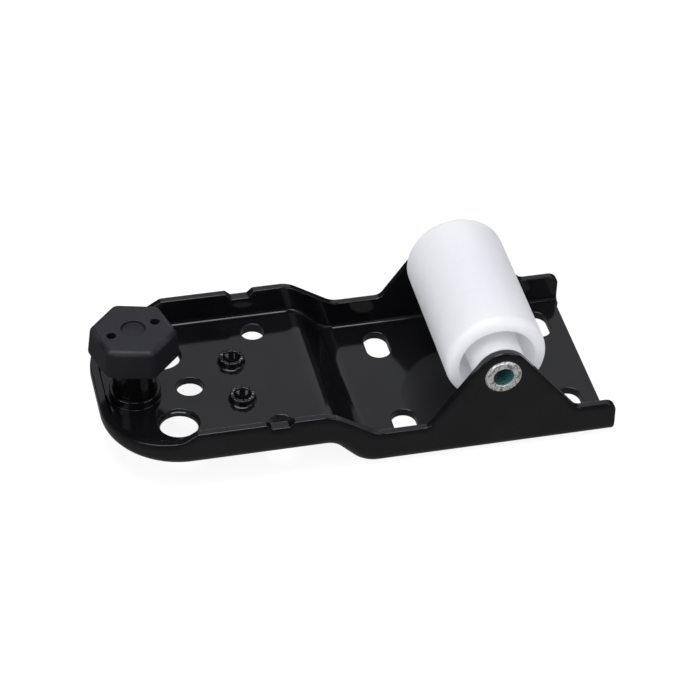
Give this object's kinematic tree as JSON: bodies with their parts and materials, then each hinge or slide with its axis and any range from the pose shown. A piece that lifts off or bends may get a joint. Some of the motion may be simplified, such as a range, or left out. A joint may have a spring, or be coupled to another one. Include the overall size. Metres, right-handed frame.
{
  "type": "cabinet bottom hinge bracket with roller and levelling foot",
  "caption": "Pressed steel bottom hinge bracket for a cabinet, stepped tray with a plastic roller between two ears and a hexagonal levelling foot.",
  "frame": {"origin": "on the underside of the low floor, which is the mounting face, straight below the middle of the roller's axle", "axes": "+X along the bracket towards its square end (the foot is at -X), +Y across it along the axle, +Z out of the tray towards the roller and the foot's head"},
  "size_m": [0.1776, 0.077, 0.0508],
  "materials": {
    "black_coat": "gloss black powder or dip coat over pressed steel",
    "plated_steel": "zinc plated, satin",
    "white_plastic": "smooth moulded, slightly translucent",
    "dark_plastic": "fine matt moulded"
  },
  "bodies": {
    "frame": {"bracket": "black_coat", "axle": "plated_steel"},
    "roller": {"roller": "white_plastic"},
    "foot": {"foot": "dark_plastic"}
  },
  "joints": [
    {"name": "roller_spin", "type": "hinge", "parent": "frame", "child": "roller", "pos_m": [0, 0, 0.0331], "axis": [0, 1, 0], "continuous": true},
    {"name": "foot_height", "type": "slide", "parent": "frame", "child": "foot", "axis": [0, 0, 1], "range_m": [-0.005, 0.005]}
  ]
}
